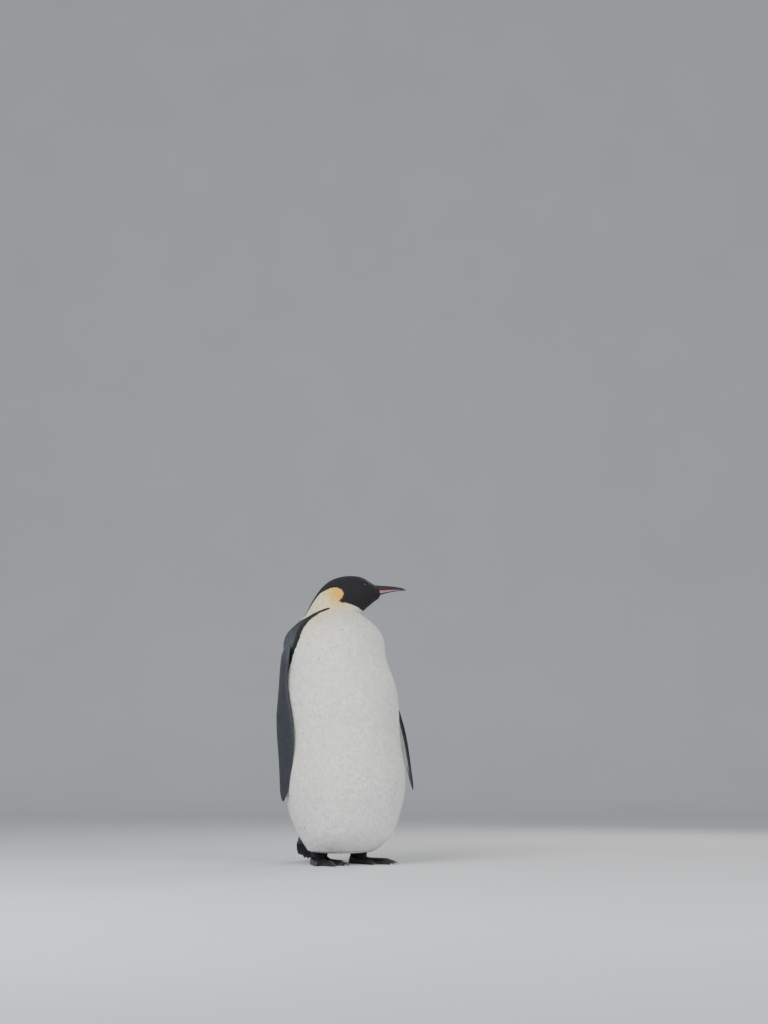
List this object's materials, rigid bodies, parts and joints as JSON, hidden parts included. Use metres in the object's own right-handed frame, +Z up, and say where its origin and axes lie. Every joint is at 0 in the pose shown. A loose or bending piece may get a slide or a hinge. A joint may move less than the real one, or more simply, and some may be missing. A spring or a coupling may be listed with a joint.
{
  "type": "emperor penguin",
  "caption": "Life-size still model of an emperor penguin standing at rest with its neck drawn in and its head turned to its left.",
  "frame": {"origin": "on the floor, in the middle of the footprint of the whole model", "axes": "+Z up, the bird faces -Y and its left side is +X"},
  "size_m": [0.5096, 0.4658, 0.9585],
  "materials": {
    "white_feathers": "dense white body feathers, soft sheen",
    "gold_feathers": "short feathers, orange-yellow at the ear fading to pale yellow",
    "black_feathers": "short black feathers",
    "slate_feathers": "blue-grey scale-like feathers",
    "bill_horn": "smooth black horn",
    "bill_plate": "pink and lilac plate on the lower jaw",
    "eye": "wet dark brown",
    "scaly_skin": "black scaly skin",
    "claw_horn": "dark horn"
  },
  "bodies": {
    "root": {"bill_lower": "bill_plate", "bill_upper": "bill_horn", "claw_left_1": "claw_horn", "claw_left_2": "claw_horn", "claw_left_3": "claw_horn", "claw_right_1": "claw_horn", "claw_right_2": "claw_horn", "claw_right_3": "claw_horn", "eye_left": "eye", "eye_right": "eye", "flipper_arm_left": "slate_feathers", "flipper_arm_right": "slate_feathers", "flipper_blade_left": "slate_feathers", "flipper_blade_right": "slate_feathers", "foot_left": "scaly_skin", "foot_right": "scaly_skin", "head": "black_feathers", "leg_left": "black_feathers", "leg_right": "black_feathers", "neck": "gold_feathers", "tail": "slate_feathers", "trunk": "white_feathers"}
  },
  "joints": []
}
